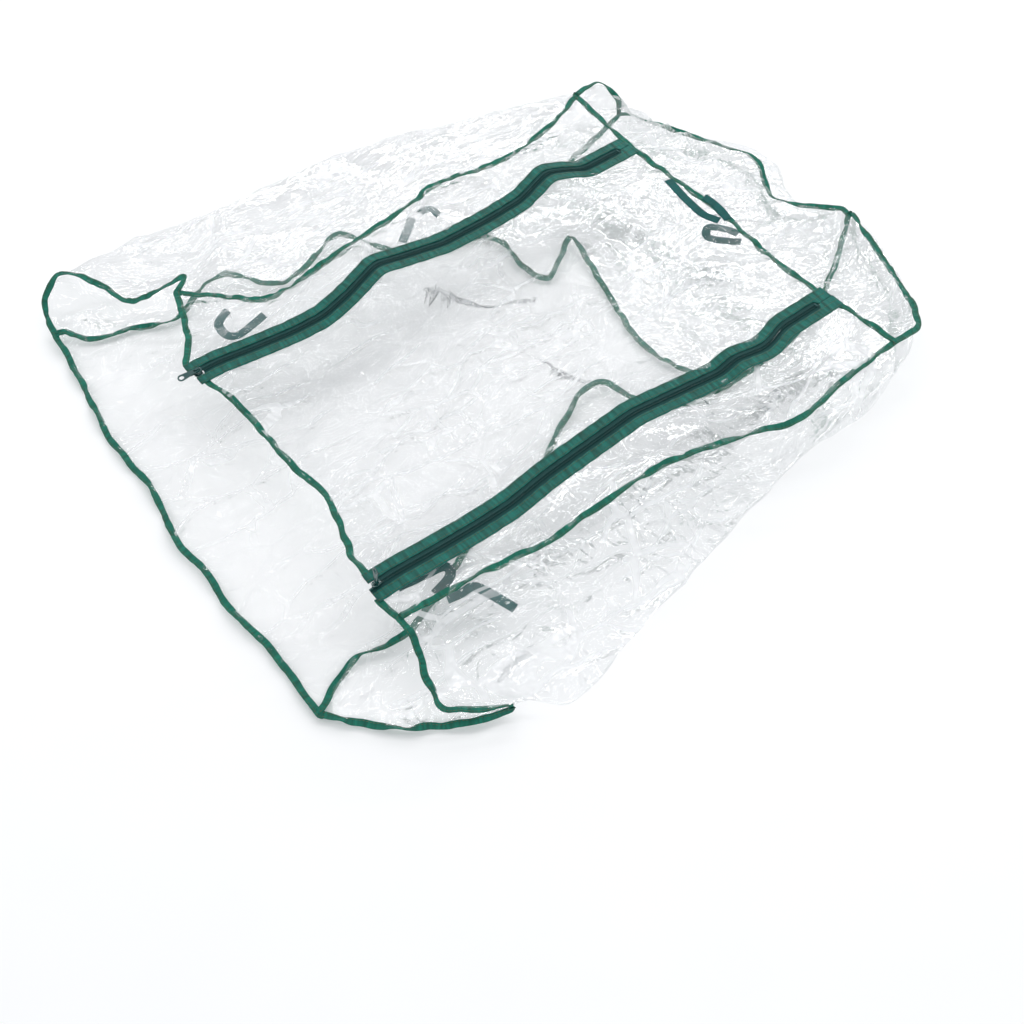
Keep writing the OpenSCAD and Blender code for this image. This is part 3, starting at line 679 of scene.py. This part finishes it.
def folds(co, seed, sizes):
    """Height of crumpled film: straight creases that cross in several directions."""
    r = np.random.default_rng(seed)
    p = co * (1, 1, 1.3)
    total = np.zeros(len(co))
    for length, height in sizes:
        for _ in range(3):
            d = r.normal(size=3) * (1, 1, 0.5)
            d /= np.linalg.norm(d)
            across = unit(np.cross(d, (0, 0, 1)) + 1e-6)
            phase = p @ across / length * r.uniform(0.8, 1.6) + r.uniform(0, ANY_PHASE)
            warp = 0.35 * np.sin(phase)
            phase = p @ r.normal(size=3) / length * 2.1 + r.uniform(0, ANY_PHASE)
            warp = warp + 0.22 * np.sin(phase)
            phase = p @ d / length + warp + r.uniform(0, 1)
            wave = 1 - 2 * np.abs(phase % 1 - 0.5) * 2
            phase = p @ (r.normal(size=3) * (1, 1, 0)) * 1.1 / length * 0.5
            where = 0.5 + 0.5 * np.sin(phase + r.uniform(0, ANY_PHASE))
            total += height * wave * (0.25 + 0.75 * where)
    return total


def vectors_of(vertices, name):
    flat = np.zeros(len(vertices) * 3, np.float32)
    vertices.foreach_get(name, flat)
    return flat.reshape(-1, 3).astype(float)


def refined(name, nodes):
    """The CAD film of these nodes as one fine, smooth mesh whose edges lie on the seams."""
    co, faces = skin(nodes, SHEET_MERGE)
    loops = loops_of([tuple(int(k) for k in f) for f in faces])
    co = waved(co)
    for loop in loops:
        for k in loop:
            place, _, gap = SEAM_TREE.find(co[k])
            if gap < SEAM_REACH:
                co[k] = place
    bm = bmesh.new()
    verts = [bm.verts.new(p) for p in co]
    for f in faces:
        bm.faces.new([verts[k] for k in f])
    bmesh.ops.join_triangles(bm, faces=bm.faces[:],
                             angle_face_threshold=3.1, angle_shape_threshold=3.1)
    bmesh.ops.recalc_face_normals(bm, faces=bm.faces[:])
    mesh = bpy.data.meshes.new(name)
    bm.to_mesh(mesh)
    bm.free()
    work = linked(name + "_work", mesh)
    finer = work.modifiers.new("finer", "SUBSURF")
    finer.levels = finer.render_levels = SUBDIVISIONS
    graph = bpy.context.evaluated_depsgraph_get()
    fine = bpy.data.meshes.new_from_object(work.evaluated_get(graph))
    bpy.data.objects.remove(work)
    shape = (vectors_of(fine.vertices, "co"), vectors_of(fine.vertices, "normal"),
             [tuple(p.vertices) for p in fine.polygons])
    bpy.data.meshes.remove(fine)
    return shape


def film(name, nodes, seed, strength, upward=False, bend=None,
         gathers=0, material=FILM):
    """A crumpled sheet of clear film, flat at its rim and pleated along its seams."""
    pts, normals, polys = refined(name, nodes)
    rim = tree_of(pts[[k for loop in loops_of(polys) for k in loop]])
    edge = np.array([rim.find(p)[2] for p in pts])
    height = strength * folds(pts, seed, FOLD_SIZES)
    if upward:
        normals = upright(normals)
        height = height - height.min() * UPWARD_SHARE
    pleat = np.clip(1 - edge / PLEAT_OUT, 0, 1) * np.clip(edge / PLEAT_IN, 0, 1)
    phase = pts @ (97, 131, 60) + 2 * np.sin(pts @ (31, 23, 10))
    height = height * eased(np.clip(edge / RIM_FADE, 0, 1))
    height = height + pleat * strength * PLEAT_HEIGHT * np.sin(phase)
    if gathers:
        run = pts[:, 1] + 0.012 * np.sin(pts[:, 0] * 40)
        phase = run * 2 * math.pi / GATHER_LENGTH + 1.4 * np.sin(run * 23)
        height += gathers * np.clip(edge / GATHER_FADE, 0, 1) * np.sin(phase)
    pts = pts + normals * height[:, None]
    pts[:, 2] = np.maximum(pts[:, 2], LOWEST_FILM)
    obj = piece(name, (pts, polys, None), material, None if bend else "cover", nodes)
    if bend:
        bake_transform(obj)
    obj.visible_shadow = obj.visible_diffuse = False


BEND = ((FOLD_X + 0.001, 0, ZIP_Z), (FOLD_X - 0.029, 0, ZIP_Z))
film("film_back", ["back_panel"], 3, 1.2, upward=True, material=SMOOTH_FILM)
film("film_door", ["door_panel", "door_header"], 5, 1.35, bend=BEND,
     material=SMOOTH_FILM)
film("film_left_strip", ["left_front_strip"], 7, 0.8,
     material=SMOOTH_FILM)
film("film_right_strip", ["right_front_strip"], 9, 0.8,
     material=SMOOTH_FILM)
film("film_left_side", ["left_side_panel"], 12, 0.45,
     material=DARKER_TINT_FILM)
film("film_right_side", ["right_side_panel"], 14, 0.45)
film("film_roof_front", ["roof_front_slope"], 17, 0.6,
     gathers=0.0068, material=DARKER_TINT_FILM)
film("film_roof_rear", ["roof_rear_slope"], 19, 0.5)

# ---- Zips ----
OUTER_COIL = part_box("left_outer_coil")
FACING_THICK = OUTER_FACING[1].z - OUTER_FACING[0].z
CLOSE_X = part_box("left_top_stop")[1].x + 0.001
COIL_LOW, COIL_TOP = OUTER_COIL[0].z, OUTER_COIL[1].z
COIL_W = OUTER_COIL[1].y - OUTER_COIL[0].y
COIL_IN = OUTER_COIL[0].y - ZIP_Y - 0.0002
COIL_WIRE, COIL_PITCH, COIL_CORNERS = 0.00042, 0.002, 14
RIB_LENGTH, RIB_HEIGHT = 0.008, 0.0008
FACING_OUTLINE = (0.00042, 0.00022, 4)
FACING_ROWS = (-0.66, 0.70)  # shares of its half width
CLOSE_LENGTH, CLOSE_GAP = 0.004, 0.0002
KNIT_HALF, KNIT_RIB, KNIT_PITCH = 0.00045, 0.00008, 0.0012


def zip_paths(side, way, offset, x0, x1, z):
    """A line that follows a zip, offset from its middle, with its sideways and up directions."""
    x = np.arange(x0, x1 + 0.001, 0.002)
    y = np.full(len(x), side * ZIP_Y + side * way * offset)
    path = waved(np.stack([x, y, np.full(len(x), z)], 1))
    across = np.tile((0.0, 1.0, 0.0), (len(x), 1))
    return path, across, upright(np.cross(unit(np.gradient(path, axis=0)), across))


def band(side, way, x0, x1, seed):
    """A facing ribbon, its turned edges raised and the whole of it puckered by its stitching."""
    middle, half = (IN + OUT) / 2, (OUT - IN) / 2
    path, across, up = zip_paths(side, way, middle, x0, x1, ZIP_Z + FACING_THICK)
    s = path[:, 0]
    outline = ribbon_outline(half, *FACING_OUTLINE)
    section = np.repeat(outline[None], len(path), 0)
    u = outline[None, :, 0] / half
    closed = np.clip((s - CLOSE_X) / CLOSE_LENGTH, 0, 1)[:, None]
    section[:, :, 0] -= side * way * (IN - CLOSE_GAP) * closed * (1 - u * side * way) / 2
    ribs = 0.5 + 0.5 * np.sin(2 * math.pi * s / RIB_LENGTH + 2.6 * ripple(s, 0.05, seed))
    swell = RIB_HEIGHT * ribs * (0.6 + 0.4 * ripple(s, 0.04, seed + 4))
    section[:, :, 1] += swell[:, None] * np.cos(u * 1.4)
    section[:, :, 1] += 0.00045 * ripple(s, 0.03, seed + 1)[:, None] * u
    section[:, :, 0] += 0.0003 * ripple(s, 0.025, seed + 2)[:, None] * np.sign(u)
    rows = []
    for share in FACING_ROWS:
        lift = 0.00072 + swell * math.cos(share * 1.4)
        rows.append(stitches(path + share * half * across + lift[:, None] * up, up, 0.003, 0.001))
    return swept(path, across, section), together(rows)


def coil(side, way, x0, x1, phase):
    """One row of a nylon coil: a flattened spiral of round wire."""
    turns = int((x1 - x0 - 2 * COIL_WIRE) / COIL_PITCH)
    theta = np.arange(turns * COIL_CORNERS + 1) * 2 * math.pi / COIL_CORNERS
    x = x0 + COIL_WIRE + theta / (2 * math.pi) * COIL_PITCH
    across, rise = COIL_W / 2 - COIL_WIRE, (COIL_TOP - COIL_LOW) / 2 - COIL_WIRE
    off = COIL_IN + COIL_W / 2 - across * np.cos(theta + phase)
    z = (COIL_LOW + COIL_TOP) / 2 + rise * np.sin(theta + phase)
    path = waved(np.stack([x, side * ZIP_Y + side * way * off, z], 1))
    along = unit(np.gradient(path, axis=0))
    one = unit(np.cross(along, (1.0, 0, 0)))
    return *thread(path, COIL_WIRE, one, np.cross(along, one)), None


def tape(side, way, x0, x1, coil_start):
    """Knitted tape from its coil row to under its facing, and only under that before the coil."""
    far = OUT - 0.003
    path, across, _ = zip_paths(side, way, 0, x0, x1, ZIP_Z)
    u = np.linspace(0, 1, 12)
    outline = np.concatenate([np.stack([u, 0 * u + 1], 1), np.stack([u[::-1], 0 * u - 1], 1)])
    start = np.where(path[:, 0] < coil_start, IN, COIL_IN)[:, None]
    off = side * way * (start + (far - start) * outline[None, :, 0])
    knit = np.cos(2 * math.pi * (far - COIL_IN) * outline[None, :, 0] / KNIT_PITCH)
    section = np.stack([off, outline[None, :, 1] * (KNIT_HALF + KNIT_RIB * knit) + 0 * off], 2)
    return swept(path, across, section)


EAVE = spline(FULL["front_top_binding"][0][0], SMOOTH)
EAVE = EAVE[np.argsort(EAVE[:, 1])]
for side, hand in ((1, "left"), (-1, "right")):
    for way, row in ((1, "outer"), (-1, "inner")):
        name = f"{hand}_{row}"
        outer = way == 1
        x0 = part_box(name + "_tape")[0].x
        middle = side * (ZIP_Y + way * (IN + OUT) / 2)
        top = float(np.interp(middle, EAVE[:, 1], EAVE[:, 0]))
        coil_start, coil_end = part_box(name + "_coil")[0].x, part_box(hand + "_outer_coil")[1].x
        ribbon, rows = band(side, way, x0, top, 40 + 3 * side + way)
        knitted = tape(side, way, x0, top, -1 if outer else coil_start)
        turns = coil(side, way, coil_start, coil_end, 0 if outer else math.pi)
        tape_nodes = [name + "_tape"] + ([] if outer else [hand + "_zip_head"])
        for obj in (
                piece(name + "_facing_ribbon", ribbon, FACING, None, [name + "_facing"]),
                piece(name + "_facing_stitches", rows, THREAD, None),
                piece(name + "_zip_tape", knitted, TAPE, None, tape_nodes),
                piece(name + "_coil_turns", turns, COIL, None, [name + "_coil"])):
            if outer:
                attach(obj, "cover")
            else:
                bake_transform(obj)


def clamp(name, low, high, ribs):
    """A moulded zip stop: a rounded block with grooves across it."""
    low, high = np.array(low), np.array(high)
    mid, half = (low + high) / 2, (high - low) / 2
    x = np.linspace(-1, 1, 48)
    path = np.stack([mid[0] + x * half[0], np.full(len(x), mid[1]), np.full(len(x), mid[2])], 1)
    a = np.linspace(0, 2 * math.pi, 24, endpoint=False)
    outline = np.stack([np.sign(np.cos(a)) * np.abs(np.cos(a)) ** 0.45 * half[1],
                        np.sign(np.sin(a)) * np.abs(np.sin(a)) ** 0.55 * half[2]], 1)
    size = (1 - np.abs(x) ** 6) ** 0.5 * 0.15 + 0.85 - 0.05 * np.cos(x * math.pi * ribs)
    section = outline[None] * size[:, None, None] * 0.98
    co, faces, _ = swept(path, np.tile((0.0, 1.0, 0.0), (len(x), 1)), section)
    piece(name + "_moulding", (co, faces, None), COIL, "cover", [name])


for hand in ("left", "right"):
    clamp(hand + "_top_stop", *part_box(hand + "_top_stop"), 2)
    clamp(hand + "_bottom_stop", *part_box(hand + "_bottom_stop"), 3)
    for part in ("_slider", "_pull"):
        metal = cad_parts[hand + part]
        metal.data.materials.clear()
        metal.data.materials.append(ENAMEL)
        weld = metal.modifiers.new("weld", "WELD")
        weld.merge_threshold = 0.00002
        bevel = metal.modifiers.new("bevel", "BEVEL")
        bevel.width, bevel.segments = 0.00035, 3
        bevel.limit_method, bevel.angle_limit = "ANGLE", 0.6
        metal.data.polygons.foreach_set("use_smooth", [True] * len(metal.data.polygons))

# ---- Ties ----
TIE_HALF, TIE_OUTLINE, TIE_CURL = 0.0064, (0.00048, 0.00014, 6), 0.0005
for number, n in enumerate(sorted(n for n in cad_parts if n.endswith("_tie"))):
    parts = []
    for line, side in ribbons(n):
        path, side, at = evenly(spline(line, 8), 0.002, spline(side, 8))
        outline = ribbon_outline(TIE_HALF, *TIE_OUTLINE)
        section = np.repeat(outline[None], len(path), 0)
        curl = TIE_CURL * ripple(at, 0.03, 300 + number)[:, None]
        section[:, :, 1] += curl * (outline[None, :, 0] / TIE_HALF) ** 2
        parts.append(swept(path, side, section, turn_up=False))
    piece("webbing_" + n, together(parts), WEBBING, "cover", [n])

# ---- Floor, light ----
WORLD_STRENGTH, BACK_POWER, SIDE_POWER = 0.68, 7.0, 9
BACK_HEIGHTS = (30, 43, 66, 80)  # degrees
FLOOR_HALF, FLOOR_DROP = 6, 0.0004
bm = bmesh.new()
bmesh.ops.create_grid(bm, x_segments=1, y_segments=1, size=FLOOR_HALF)
floor_mesh = bpy.data.meshes.new("floor")
bm.to_mesh(floor_mesh)
bm.free()
floor = linked("floor", floor_mesh)
floor.location = (MIDDLE[0], MIDDLE[1], -FLOOR_DROP)
mat, nt, out = shader("pale_floor")
speck = node(nt, "TexNoise", {"Vector": node(nt, "TexCoord").outputs["Object"]}, Scale=8.0)
tone = node(nt, "MixRGB", {0: speck.outputs["Fac"]},
            in_1=(0.93, 0.93, 0.93, 1), in_2=(0.95, 0.95, 0.95, 1))
plain = node(nt, "BsdfDiffuse", {"Color": tone.outputs[0]})
nt.links.new(plain.outputs[0], out.inputs["Surface"])
floor_mesh.materials.append(mat)

world = bpy.data.worlds.new("studio")
scene.world = world
world.use_nodes = True
background = world.node_tree.nodes["Background"]
background.inputs["Color"].default_value = (0.95, 0.97, 1, 1)
background.inputs["Strength"].default_value = WORLD_STRENGTH


def softbox(name, direction, distance, size, power):
    data = bpy.data.lights.new(name, "AREA")
    data.shape = "RECTANGLE"
    data.size, data.size_y = size
    data.energy = power
    lamp = linked(name, data)
    aim = Vector((MIDDLE[0], MIDDLE[1], 0))
    lamp.location = aim + Vector(direction).normalized() * distance
    lamp.rotation_euler = (aim - lamp.location).to_track_quat("-Z", "Y").to_euler()


for number, height in enumerate(BACK_HEIGHTS):
    across, above = math.cos(math.radians(height)), math.sin(math.radians(height))
    toward = (away.x * across, away.y * across, above)
    softbox(f"strip_{number}", toward, 2.7, (2.6, 0.06), BACK_POWER)
softbox("strip_left", (-0.9, 0.5, 0.9), 2.6, (0.08, 2.4), SIDE_POWER)
softbox("strip_right", (0.9, -0.35, 0.8), 2.6, (0.08, 2.4), SIDE_POWER)
softbox("strip_near", (-0.3, -0.9, 0.9), 2.8, (2.4, 0.08), SIDE_POWER)
scene.view_settings.view_transform = "Standard"
scene.cycles.transparent_max_bounces = 32
